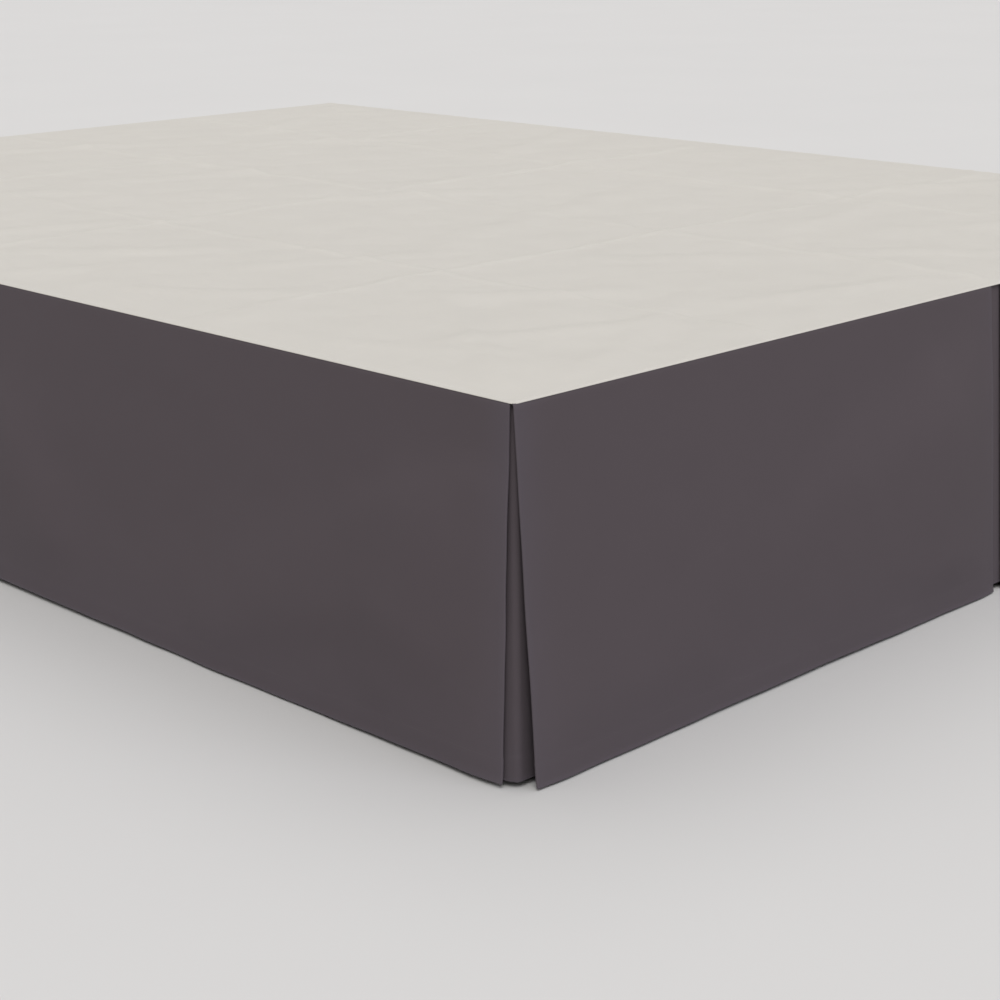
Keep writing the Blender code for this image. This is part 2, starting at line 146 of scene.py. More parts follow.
# The cloth at the back of a middle pleat, and the underlay at a foot corner.
BACK_LEAN = {"left": 0.0105, "foot": 0.0140, "right": 0.0105}    # from seam to hem
BACK_HEM = 0.0080                # above the floor
UNDERLAY_LEAN = {"left": 0.0131, "foot": 0.0096, "right": 0.0111, "corner": 0.0063}
UNDERLAY_HEM = 0.0070
UNDERLAY_RADIUS = 0.007          # of its bend at the corner
UNDERLAY_SPARE = 0.004           # what it reaches past a pleat's depth from the corner
RETURN_SEAM = 0.012              # how much of a return's end is sewn to the underlay
RETURN_GAP = 0.0013              # between the middles of the two there
# Along the bed's side the underlay turns in towards the corner: how far from it each point is.
UNDERLAY_BOW = (0.024, 0.021, 0.018, 0.0155, 0.013, 0.011, 0.009)

# The cloth as it really is.
CLOTH_HALF = 0.0003              # half the thickness of one layer
HEM_DEPTH = 1 * INCH             # turned up behind the bottom edge
HEM_STITCH = DROP - 0.0232       # down from the seam
END_HEM = 0.5 * INCH             # turned back at the head end
HEM_THICKER = 0.75               # what a hem adds to the thickness, as a share of it
HEM_STEP = 0.001                 # the width over which that begins
EDGE_RADIUS = 0.0007
FOLD_RADIUS = 0.0007

# Small forms of a drop: the height, then the half width or the wavelength.
TUCK = (-0.0009, 0.0018)         # where the seam draws the cloth in
PUCKER = (0.00030, 0.013)        # gathered by the seam
FLARE = (0.0007, 0.0042)         # of the bottom edge
GROOVE = (-0.00016, 0.0012)      # along the hem's stitches
UNEVEN = (0.00022, 0.085)        # all over
WAVE = (0.00038, 0.17)           # growing towards the hem
PUCKER_START = 0.003             # from a seam to where its puckers begin
PUCKER_FADE = 0.015              # and how fast they fade down a drop
SMOOTH_TOP = 0.06                # the band under the seam in which the unevenness grows
SEEDS = {"left": 11, "foot": 23, "right": 37}

# How much the cloth is lightened, up to 1, then the half width of that: along the hem by wear and a
# painted highlight, low down by painted light from the floor, beside a fold edge by a painted
# highlight, and on it by wear and a painted highlight.
HEM_WEAR_AND_HIGHLIGHT = (1.0, 0.0045)
LOW_PAINTED_LIGHT = (0.33, 0.075)
FOLD_PAINTED_HIGHLIGHT = (0.65, 0.024)
FOLD_WEAR_AND_HIGHLIGHT = (0.7, 0.0025)
FOLD_HIGHLIGHT_FADE = 0.7                 # how much the painted highlight beside a fold fades, from seam to hem

# The grid of a drop: the space between two columns, and the rows down from the seam, which are
# closer together at the seam, at the top of the hem, along its stitches and at the bottom edge.
COLUMN_STEP = 0.008
LONGEST_STEP = COLUMN_STEP * 1.25
ROW_STEP = 0.0085
DOWN = np.unique(np.concatenate((
    (0.0, 0.0008, 0.0018, 0.003, 0.005, 0.008, 0.012, 0.017, 0.023),
    np.arange(0.031, DROP - HEM_DEPTH - 0.004, ROW_STEP),
    DROP - HEM_DEPTH + np.array((-0.0022, -0.0006, 0.0004, 0.0014)),
    HEM_STITCH + np.array((0.0, 0.0009, 0.0024)),
    DROP - np.array((0.0155, 0.0110, 0.0075, 0.0048, 0.0028, 0.0014, 0.0007, 0.0003, 0.0)))))
SHARE = DOWN / DROP              # 0 at the seam, 1 at the hem
END_COLUMNS = (0.0022, 0.0012, 0.0005, 0.0)      # from the head end
FOLD_STEPS = 4
BEND_STEPS = 12                  # of the underlay's bend


def unit(vectors):
    return vectors / np.maximum(np.linalg.norm(vectors, axis=-1, keepdims=True), 1e-12)


def bell(distance, width):
    return np.exp(-(distance / width) ** 2)


def ripples(first, second, seed, wavelength, skew=math.pi, count=7):
    """Uneven waves of about unit height, the same on each run."""
    random = np.random.default_rng(seed)
    total = 0.0
    for _ in range(count):
        angle = random.uniform(-skew, skew)
        length = wavelength * random.uniform(0.6, 1.8)
        phase = random.uniform(0, 2 * math.pi)
        travel = first * math.cos(angle) + second * math.sin(angle)
        total = total + np.sin(2 * math.pi * travel / length + phase)
    return total / math.sqrt(count)


# Where a point of a hanging drop lies. Each value is an array, one number for each row.

def eased(stations, along, column):
    """A column of a table of stations, eased from one station to the next."""
    places = np.array([station[0] for station in stations])
    values = np.array([station[column] for station in stations])
    index = np.clip(np.searchsorted(places, along) - 1, 0, len(places) - 2)
    share = np.clip((along - places[index]) / (places[index + 1] - places[index]), 0, 1)
    share = 0.5 - 0.5 * np.cos(np.pi * share)
    return values[index] + (values[index + 1] - values[index]) * share


def swell(side, along):
    """How far the swells and creases stand out, fading in below the seam."""
    total = np.zeros_like(along)
    for x0, z0, x1, z1, above, below, height in SWELLS[side] + CREASES[side]:
        run = np.array((x1 - x0, z1 - z0))
        share = np.clip(((along - x0) * run[0] + (DOWN - z0) * run[1]) / (run @ run), 0, 1)
        beside, lower = along - x0 - run[0] * share, DOWN - z0 - run[1] * share
        away = np.hypot(beside / (above + below) * 2, lower / np.where(lower > 0, below, above))
        total += height * bell(away, 1.0)
    return total * np.minimum(1.0, SHARE * SWELL_RATE)


def fold_at(name):
    """Where a fold edge is along its side."""
    seam, hem = FOLDS[name]
    return seam + (hem - seam) * SHARE


def small_forms(side, along):
    """The seam's tuck and puckers, the hem's groove and flare, and the cloth's own unevenness."""
    seed = SEEDS[side]
    tuck = TUCK[0] * bell(DOWN, TUCK[1])
    gathered = np.exp(-DOWN / PUCKER_FADE) * (1 - bell(DOWN, PUCKER_START))
    pucker = PUCKER[0] * gathered * ripples(along, 0, seed, PUCKER[1], skew=0.6)
    flare = FLARE[0] * bell(DROP - DOWN, FLARE[1])
    groove = GROOVE[0] * bell(DOWN - HEM_STITCH, GROOVE[1])
    fade = np.clip(DOWN / SMOOTH_TOP, 0, 1)
    uneven = UNEVEN[0] * fade * ripples(along, DOWN, seed + 1, UNEVEN[1])
    wave = WAVE[0] * SHARE ** 2 * ripples(along, DOWN * 0.25, seed + 2, WAVE[1], skew=0.5)
    return tuck + pucker + flare + groove + uneven + wave


def flap_out(side, along, folds=()):
    """How far out the outer layer is; it turns in a little beside each of the folds."""
    out = eased(HEMS[side], along, 1) * SHARE + swell(side, along)
    curl = CURL * np.minimum(1.0, SHARE * CURL_RATE)
    for name in folds:
        out = out - curl * bell(along - fold_at(name), CURL_WIDTH)
    return out + small_forms(side, along)


def underlay_out(place):
    return -2 * LAYER + UNDERLAY_LEAN[place] * SHARE


def hem_up(side, along):
    return eased(HEMS[side], along, 2)


# A drop's path in plan: corners of along, out, hem height, fold radius and the strength of the
# painted highlight beside a fold edge.

def panel(side, begin, end, folds):
    """The outer layer between two edges, without its first and last points."""
    steps = round(float(np.mean(end - begin)) / COLUMN_STEP)
    path = []
    for step in range(1, steps):
        along = begin + (end - begin) * step / steps
        path.append((along, flap_out(side, along, folds), hem_up(side, along), 0.0, 0))
    return path


def flap_fold(side, name, folds, outward):
    """The fold edge of a flap, from its return outward or from its outer layer in."""
    along = fold_at(name)
    out, hem = flap_out(side, along, folds), hem_up(side, along)
    # The strength of the painted highlight beside this fold edge.
    fold_highlight = CORNER_FOLD_HIGHLIGHT if "corner" in name else MIDDLE_FOLD_HIGHLIGHT
    edge = [(along, out - LAYER, hem, FOLD_RADIUS, fold_highlight),
            (along, out, hem, FOLD_RADIUS, fold_highlight)]
    return edge if outward else edge[::-1]


def hidden_fold(side, along, outward):
    """The fold between a return and the back of a middle pleat."""
    hem = np.full_like(along, BACK_HEM)
    out = -2 * LAYER + BACK_LEAN[side] * SHARE
    edge = [(along, out, hem, FOLD_RADIUS, 0), (along, out + LAYER, hem, FOLD_RADIUS, 0)]
    return edge if outward else edge[::-1]


def middle_pleat(side, near, far, folds):
    """An inverted pleat: two fold edges, their returns, and the back between them."""
    return (flap_fold(side, near, folds, outward=False)
            + hidden_fold(side, fold_at(near) - PLEAT_DEPTH, outward=False)
            + hidden_fold(side, fold_at(far) + PLEAT_DEPTH, outward=True)
            + flap_fold(side, far, folds, outward=True))


def return_end(side, edge, way):
    """The end of a corner's return, which is sewn to the underlay's end."""
    along = edge + way * PLEAT_DEPTH
    hem = np.full_like(along, UNDERLAY_HEM)
    sewn = underlay_out(side) + RETURN_GAP
    return [(along - way * RETURN_SEAM, sewn, hem, 0.0, 0), (along, sewn, hem, 0.0, 0)]


def side_path(side):
    """A drop along a side of the bed, from its corner's return to its hemmed head end."""
    folds = (f"{side} corner", f"{side} middle near", f"{side} middle far")
    corner, near, far = (fold_at(name) for name in folds)
    end = np.full_like(SHARE, DECK_LENGTH)
    return (return_end(side, corner, 1)[::-1]
            + flap_fold(side, folds[0], folds, outward=True)
            + panel(side, corner, near, folds)
            + middle_pleat(side, folds[1], folds[2], folds)
            + panel(side, far, end, folds)
            + [(end - inset, flap_out(side, end - inset), hem_up(side, end - inset), 0.0, 0)
               for inset in END_COLUMNS])


def foot_path():
    """The drop along the foot, from one corner's return to the other's."""
    folds = ("foot left corner", "foot middle near", "foot middle far", "foot right corner")
    first, near, far, last = (fold_at(name) for name in folds)
    return (return_end("foot", first, 1)[::-1]
            + flap_fold("foot", folds[0], folds, outward=True)
            + panel("foot", first, near, folds)
            + middle_pleat("foot", folds[1], folds[2], folds)
            + panel("foot", far, last, folds)
            + flap_fold("foot", folds[3], folds, outward=False)
            + return_end("foot", last, -1))


def on_side(side, along, out):
    """Points in plan, one for each row."""
    corner, way_along, way_out = (np.array(part, float) for part in SIDES[side])
    return corner + np.multiply.outer(along, way_along) + np.multiply.outer(out, way_out)


def placed(side, path):
    """The path with its corners as points in plan."""
    return [(on_side(side, along, out), hem, radius, fold_highlight)
            for along, out, hem, radius, fold_highlight in path]


def underlay_path(side):
    """An underlay, in plan already: along the bed's side, in to the corner, and along the foot."""
    out, corner, foot_out = (underlay_out(place) for place in (side, "corner", "foot"))
    hem = np.full_like(out, UNDERLAY_HEM)
    reach = np.full_like(out, PLEAT_DEPTH + UNDERLAY_SPARE)
    near, way = (DECK_WIDTH, -1) if side == "right" else (0.0, 1)
    path = [(on_side(side, reach, out), hem, 0.0, 0)]
    for distance in UNDERLAY_BOW:
        turned_in = (1 - distance / UNDERLAY_BOW[0]) ** 2
        path.append((on_side(side, distance - foot_out, out + (corner - out) * turned_in),
                     hem, 0.0, 0))
    path.append((on_side("foot", near - way * corner, foot_out), hem, UNDERLAY_RADIUS, 0))
    path.append((on_side("foot", near + way * reach, foot_out), hem, 0.0, 0))
    return path


def rounded(corners):
    """The path with each corner turned on its radius."""
    path = []
    for index, (here, hem, radius, fold_highlight) in enumerate(corners):
        if not radius:
            path.append((here, hem, fold_highlight))
            continue
        before = unit(corners[index - 1][0] - here)
        after = unit(corners[index + 1][0] - here)
        half = np.arccos(np.clip((before * after).sum(-1), -1, 1)) / 2
        centre = here + unit(before + after) * (radius / np.sin(half))[:, None]
        start = here + before * (radius / np.tan(half))[:, None] - centre
        end = here + after * (radius / np.tan(half))[:, None] - centre
        turn = np.arctan2(start[:, 0] * end[:, 1] - start[:, 1] * end[:, 0], (start * end).sum(-1))
        steps = BEND_STEPS if radius == UNDERLAY_RADIUS else FOLD_STEPS
        for step in range(steps + 1):
            cos, sin = np.cos(turn * step / steps), np.sin(turn * step / steps)
            spoke = np.stack((start[:, 0] * cos - start[:, 1] * sin,
                              start[:, 0] * sin + start[:, 1] * cos), -1)
            path.append((centre + spoke, hem, fold_highlight))
    return path


def refined(path):
    """The path with points added on its long straight runs."""
    fine = [path[0]]
    for (here, hem, _), (there, next_hem, next_fold_highlight) in zip(path, path[1:]):
        steps = math.ceil(float(np.linalg.norm(there - here, axis=-1).max()) / LONGEST_STEP)
        for step in range(1, steps):
            share = step / steps
            fine.append((here + (there - here) * share, hem + (next_hem - hem) * share, 0))
        fine.append((there, next_hem, next_fold_highlight))
    return fine


# Sheets and stitches.

def add_mesh(name, points, faces, *stuffs):
    data = bpy.data.meshes.new(name)
    data.from_pydata(np.asarray(points).tolist(), [], [list(map(int, face)) for face in faces])
    for stuff in stuffs:
        data.materials.append(stuff)
    data.shade_smooth()
    made = bpy.data.objects.new(name, data)
    bpy.context.scene.collection.objects.link(made)
    return made


def set_cloth_data(piece, across, down, wear_and_painted_light):
    """The flat place of each point of the cloth, in metres, and how much wear and painted light
    lighten it.
    """
    data = piece.data
    corner = np.zeros(len(data.loops), np.int32)
    data.loops.foreach_get("vertex_index", corner)
    layer = data.uv_layers.new(name="cloth")
    layer.uv.foreach_set("vector", np.stack((across, down), -1)[corner].astype(np.float32).ravel())
    rubbed_and_painted_light = data.attributes.new("wear_and_painted_light", "FLOAT", "POINT")
    rubbed_and_painted_light.data.foreach_set("value", wear_and_painted_light.astype(np.float32))


def tangents(grid, axis):
    """The mean of the ways to a point's two neighbours, whatever their distance."""
    steps = unit(np.diff(grid, axis=axis))
    first, last = np.take(steps, [0], axis), np.take(steps, [-1], axis)
    return unit(np.concatenate((first, steps), axis) + np.concatenate((steps, last), axis))


def sheet_faces(rows, columns):
    """The faces of a closed sheet: its front, its back and its four edges."""
    index = np.arange(rows * columns).reshape(rows, columns)
    other = index + rows * columns

    def quads(a, b, c, d):
        return np.stack((a.ravel(), b.ravel(), c.ravel(), d.ravel()), -1)

    return np.concatenate((
        quads(index[:-1, :-1], index[:-1, 1:], index[1:, 1:], index[1:, :-1]),
        quads(other[:-1, :-1], other[1:, :-1], other[1:, 1:], other[:-1, 1:]),
        quads(index[0, 1:], index[0, :-1], other[0, :-1], other[0, 1:]),
        quads(index[-1, :-1], index[-1, 1:], other[-1, 1:], other[-1, :-1]),
        quads(index[:-1, 0], index[1:, 0], other[1:, 0], other[:-1, 0]),
        quads(index[1:, -1], index[:-1, -1], other[:-1, -1], other[1:, -1])))


def thin_sheet(name, middle, half, across, down, wear_and_painted_light, outward, stuff):
    """A closed sheet of cloth about a grid of points, with its front the way outward says."""
    normal = unit(np.cross(tangents(middle, 1), tangents(middle, 0)))
    (probe_row, probe_column), way = outward
    if normal[probe_row, probe_column] @ np.array(way, float) < 0:
        normal = -normal
    front, back = middle + normal * half[..., None], middle - normal * half[..., None]
    points = np.concatenate((front.reshape(-1, 3), back.reshape(-1, 3)))
    faces = sheet_faces(*middle.shape[:2])
    corners = points[faces]
    volume = np.einsum("ij,ij->", np.cross(corners[:, 0], corners[:, 1]), corners[:, 2])
    volume += np.einsum("ij,ij->", np.cross(corners[:, 0], corners[:, 2]), corners[:, 3])
    if volume < 0:
        faces = faces[:, ::-1]
    made = add_mesh(name, points, faces, stuff)
    set_cloth_data(made, np.tile(across.ravel(), 2), np.tile(down.ravel(), 2),
                   np.tile(wear_and_painted_light.ravel(), 2))
    return made, front, normal


def edge_round(distance):
    """How the thickness of cloth rounds off towards an edge, down to a quarter."""
    inside = np.clip(distance / EDGE_RADIUS, 0, 1)
    return np.sqrt(np.maximum(1 - (1 - inside) ** 2, 0.06))


def drop_wear_and_painted_light(across, down, fold_highlight):
    """Lightened by wear and a painted highlight along the hem and on the fold edges, by a painted
    highlight beside the fold edges, less so low down, and by painted light low on the drop.
    """
    wear_and_painted_light = np.maximum(HEM_WEAR_AND_HIGHLIGHT[0] * bell(DROP - down, HEM_WEAR_AND_HIGHLIGHT[1]),
                      LOW_PAINTED_LIGHT[0] * bell(DROP - down, LOW_PAINTED_LIGHT[1]))
    if fold_highlight.any():
        away = np.abs(across[0][:, None] - across[0][fold_highlight > 0][None, :])
        soft = (FOLD_PAINTED_HIGHLIGHT[0] * fold_highlight[fold_highlight > 0] * bell(away, FOLD_PAINTED_HIGHLIGHT[1])).max(1)
        wear_and_painted_light = np.maximum(wear_and_painted_light + soft * (1 - FOLD_HIGHLIGHT_FADE * SHARE)[:, None],
                          FOLD_WEAR_AND_HIGHLIGHT[0] * bell(away, FOLD_WEAR_AND_HIGHLIGHT[1]).max(1))
    return wear_and_painted_light


def hanging_cloth(name, corners, stuff, way, end_hem=False):
    """A sheet that hangs from the seam along a path in plan."""
    path = refined(rounded(corners))
    plan = np.stack([point for point, _, _ in path], 1)
    hem = np.stack([hem for _, hem, _ in path], 1)
    height = SEAM_Z + (hem - SEAM_Z) * SHARE[:, None]
    middle = np.concatenate((plan, height[..., None]), -1)
    run = np.linalg.norm(np.diff(plan[len(DOWN) // 2], axis=0), axis=-1)
    across = np.broadcast_to(np.concatenate(((0.0,), np.cumsum(run))), plan.shape[:2])
    down = np.broadcast_to(DOWN[:, None], plan.shape[:2])
    to_end = across[0, -1] - across
    doubled = np.clip((down - (DROP - HEM_DEPTH)) / HEM_STEP, 0, 1)
    if end_hem:
        doubled = np.maximum(doubled, np.clip((END_HEM - to_end) / HEM_STEP, 0, 1))
    half = CLOTH_HALF * (1 + HEM_THICKER * doubled)
    half = half * edge_round(DROP - down) * edge_round(np.minimum(across, to_end))
    wear_and_painted_light = drop_wear_and_painted_light(across, down, np.array([fold_highlight for _, _, fold_highlight in path]))
    probe = (len(DOWN) // 2, int(plan.shape[1] * 0.3))
    return thin_sheet(name, middle, half, across, down, wear_and_painted_light, (probe, way), stuff)


def stitch_line(name, points, normals, stuff, length=0.0028, pitch=0.0036, width=0.00022,
                rise=0.00020, sunk=0.00012):
    """A row of machine stitches, each a small grain of thread sunk at both ends."""
    reach = np.concatenate(((0.0,), np.cumsum(np.linalg.norm(np.diff(points, axis=0), axis=1))))
    starts = np.arange(pitch, reach[-1] - pitch, pitch)

    def at(distance, values):
        return np.stack([np.interp(distance, reach, values[:, part]) for part in range(3)], -1)

    first, last = at(starts, points), at(starts + length, points)
    up = unit(at(starts + length / 2, normals))
    middle = at(starts + length / 2, points)
    beside = unit(np.cross(last - first, up)) * width
    grains = np.stack((first - up * sunk, last - up * sunk, middle + beside, middle - beside,
                       middle + up * rise, middle - up * rise), 1)
    shape = np.array(((0, 2, 4), (2, 1, 4), (1, 3, 4), (3, 0, 4),
                      (2, 0, 5), (1, 2, 5), (3, 1, 5), (0, 3, 5)))
    faces = (shape[None] + 6 * np.arange(len(starts))[:, None, None]).reshape(-1, 3)
    return add_mesh(name, grains.reshape(-1, 3), faces, stuff)


# Materials.

CHARCOAL = (0.0862, 0.0714, 0.0798)
# The underlay's cloth is the charcoal darkened: painted shade for the corner pleats' dim gaps.
CHARCOAL_PAINTED_SHADE = [0.87 * part for part in CHARCOAL]
WEAR_AND_HIGHLIGHT_TINT = (1.08, 1.12, 1.18)      # times the colour for wear and for painted bluish highlights and light
# Cloths: colour, thread pitch, roughness, sheen, uneven dye, thick yarns, height of the weave,
# and for the drop and underlay the tint for wear and painted light.
CLOTHS = {
    "skirt_poplin_woven": (CHARCOAL, 0.0007, 0.82, 0.02, 0.010, 0.012, 0.00005, WEAR_AND_HIGHLIGHT_TINT),
    "underlay_woven_painted_shade": (CHARCOAL_PAINTED_SHADE, 0.0007, 0.82, 0.02, 0.010, 0.012, 0.00005, WEAR_AND_HIGHLIGHT_TINT),
    "skirt_thread": ((0.100, 0.088, 0.093), 0.0004, 0.6, 0.1, 0.03, 0.03, 0.00003),
    "platform_woven": ((0.60, 0.58, 0.54), 0.0009, 0.9, 0.03, 0.010, 0.012, 0.00008),
    "platform_thread": ((0.72, 0.70, 0.66), 0.0004, 0.7, 0.1, 0.03, 0.03, 0.00003),
    "ticking_woven": ((0.72, 0.71, 0.68), 0.0012, 0.86, 0.05, 0.014, 0.018, 0.00010),
    "ticking_tape": ((0.55, 0.54, 0.51), 0.0016, 0.8, 0.05, 0.02, 0.03, 0.00014),
    "dust_cover": ((0.10, 0.10, 0.10), 0.0022, 0.95, 0.02, 0.04, 0.05, 0.00012),
}
# Hard surfaces: colour, roughness, metallic, grain scale, grain height, scuffs.
HARD = {
    "steel_paint": ((0.035, 0.033, 0.032), 0.42, 0.35, 900.0, 0.00004, 0.5),
    "glide_moulding": ((0.02, 0.02, 0.02), 0.5, 0.0, 1400.0, 0.00005, 1.2),
}
DYE_PATCHES = (3.2, 14.0)        # how fine the uneven dye is
YARN_NOISE = (700, 9)            # how fine the yarns' noise is across and along a thread
YARN_HEIGHT = 0.35               # against the weave's
WEAVE_SHADE = 0.03               # how much the weave varies the colour
YARN_ROUGH = 0.03                # how much the yarns vary the roughness
WEAR_ROUGH = -0.06               # what the mask of wear and painted light adds to it
PATCHES = 9.0                    # how fine the patches are on paint and plastic
PATCH_SHADE = 0.10               # how much they vary the colour
PATCH_ROUGH = 0.06               # and the roughness
SCRATCHES = (60, 60, 420)        # how fine they are along X, Y and Z


def new_material(name):
    made = bpy.data.materials.new(name)
    made.use_nodes = True
    return made, made.node_tree, made.node_tree.nodes["Principled BSDF"]


def add_node(tree, kind, inputs=None, **settings):
    made = tree.nodes.new("ShaderNode" + kind)
    for key, value in settings.items():
        setattr(made, key, value)
    for key, value in (inputs or {}).items():
        if isinstance(value, bpy.types.NodeSocket):
            tree.links.new(value, made.inputs[key])
        else:
            made.inputs[key].default_value = value
    return made


def calculate(tree, operation, first, second=0.0, third=0.0):
    made = add_node(tree, "Math", {0: first, 1: second, 2: third}, operation=operation)
    return made.outputs[0]


def noise(tree, place, scale, detail=3.0, stretch=(1, 1, 1)):
    """Noise from -1 to 1 or so."""
    spread = add_node(tree, "VectorMath", {0: place, 1: stretch}, operation="MULTIPLY")
    made = add_node(tree, "TexNoise", {"Vector": spread.outputs[0], "Scale": scale,
                                       "Detail": detail, "Roughness": 0.55})
    return calculate(tree, "MULTIPLY_ADD", made.outputs["Fac"], 4.0, -2.0)


def tinted(tree, colour, factor):
    """A colour times one plus a factor."""
    scale = calculate(tree, "ADD", factor, 1.0)
    return add_node(tree, "VectorMath", {0: colour, "Scale": scale}, operation="SCALE").outputs[0]


def set_bump(tree, shader, height, relief):
    bump = add_node(tree, "Bump", {"Height": height, "Distance": relief, "Strength": 1.0})
    tree.links.new(bump.outputs[0], shader.inputs["Normal"])


def cloth_material(name, colour, pitch, roughness, sheen, mottle, slub, relief, rubbed_and_painted_light=(1, 1, 1)):
    """Plain weave: threads, thicker yarns here and there, uneven dye, and lightening by wear and by
    painted highlights and light.
    """
    made, tree, shader = new_material(name)
    flat = add_node(tree, "UVMap", uv_map="cloth").outputs["UV"]
    parts = add_node(tree, "SeparateXYZ", {0: flat})
    waves = [calculate(tree, "SINE", calculate(tree, "MULTIPLY", parts.outputs[way],
                                               2 * math.pi / pitch)) for way in ("X", "Y")]
    weave = calculate(tree, "MULTIPLY", waves[0], waves[1])
    warp = noise(tree, flat, 1.0, 2.0, (*YARN_NOISE, 1))
    weft = noise(tree, flat, 1.0, 2.0, (*YARN_NOISE[::-1], 1))
    yarns = calculate(tree, "ADD", warp, weft)
    broad, fine = noise(tree, flat, DYE_PATCHES[0]), noise(tree, flat, DYE_PATCHES[1], 2.0)
    dye = calculate(tree, "ADD", broad, fine)
    shade = calculate(tree, "MULTIPLY_ADD", yarns, slub, calculate(tree, "MULTIPLY", dye, mottle))
    shade = calculate(tree, "MULTIPLY_ADD", weave, WEAVE_SHADE, shade)
    wear_and_painted_light = add_node(tree, "Attribute", attribute_name="wear_and_painted_light").outputs["Fac"]
    # Lighter and bluer by the mask: wear, and painted highlights, reflection and light.
    lighter = add_node(tree, "MixRGB", {"Fac": wear_and_painted_light, "Color1": (*colour, 1),
                                        "Color2": (*(c * r for c, r in zip(colour, rubbed_and_painted_light)), 1)})
    tree.links.new(tinted(tree, lighter.outputs[0], shade), shader.inputs["Base Color"])
    rough = calculate(tree, "MULTIPLY_ADD", yarns, YARN_ROUGH, roughness)
    rough = calculate(tree, "MULTIPLY_ADD", wear_and_painted_light, WEAR_ROUGH, rough)
    tree.links.new(rough, shader.inputs["Roughness"])
    set_bump(tree, shader, calculate(tree, "MULTIPLY_ADD", yarns, YARN_HEIGHT, weave), relief)
    shader.inputs["Specular IOR Level"].default_value = 0.15
    shader.inputs["Sheen Weight"].default_value = sheen
    shader.inputs["Sheen Roughness"].default_value = 0.45
    return made


def hard_material(name, colour, roughness, metallic, grain, relief, scuff):
    """Paint or moulded plastic: a fine grain, uneven gloss and light scuffs."""
    made, tree, shader = new_material(name)
    place = add_node(tree, "TexCoord").outputs["Object"]
    grit = noise(tree, place, grain, 2.0)
    patches = noise(tree, place, PATCHES, 4.0)
    scratches = calculate(tree, "POWER", calculate(
        tree, "ABSOLUTE", noise(tree, place, 1.0, 5.0, SCRATCHES)), 3.0)
    shade = calculate(tree, "MULTIPLY_ADD", patches, PATCH_SHADE, calculate(
        tree, "MULTIPLY", scratches, scuff))
    tree.links.new(tinted(tree, colour, shade), shader.inputs["Base Color"])
    rough = calculate(tree, "MULTIPLY_ADD", patches, PATCH_ROUGH, roughness)
    tree.links.new(rough, shader.inputs["Roughness"])
    set_bump(tree, shader, grit, relief)
    shader.inputs["Metallic"].default_value = metallic
    return made


# The deck.

DECK_HALF = 0.0002               # half the thickness of its cloth
DECK_HEM = 0.0205                # turned under at the head end
DECK_HEM_THICKER = 0.8
EDGE_ROLL = 0.0012               # radius of its edge down to its seam
ROLL_ANGLES = (20, 40, 60, 80)   # degrees
DECK_CORNER = 0.006
DECK_PAST_HEAD = 0.0005
EDGE_STITCH = 0.006              # from the sewn edges
HEAD_STITCH = 0.018              # from the head end

# Its grid's lines are closer together near an edge and beside a crease.
DECK_STEP = 0.0125
SEWN_BAND = 0.020                # along a sewn edge, and the lines in it, from the roll
SEWN_LINES = (0.0, 0.0015, 0.003, 0.0045, 0.0065, 0.0095)
HEAD_BAND = 0.030                # along the head end, and the lines in it, from the very end
HEAD_LINES = (0.0215, 0.0205, 0.0195, 0.018, 0.012, 0.006, 0.002, 0.0008, 0.0003, 0.0)
CREASE_LINES = (-1.5, -0.9, -0.45, -0.15, 0.15, 0.45, 0.9, 1.5)      # in its half widths

# Creases left by folding it in its packet: where across or along the bed, half width, height.
FOLDS_X = ((-0.386, 0.008, 0.0025), (0.004, 0.010, 0.0033), (0.391, 0.008, 0.0023))
FOLDS_Y = ((-0.512, 0.008, 0.0026), (0.021, 0.010, 0.0032), (0.533, 0.008, 0.0024))
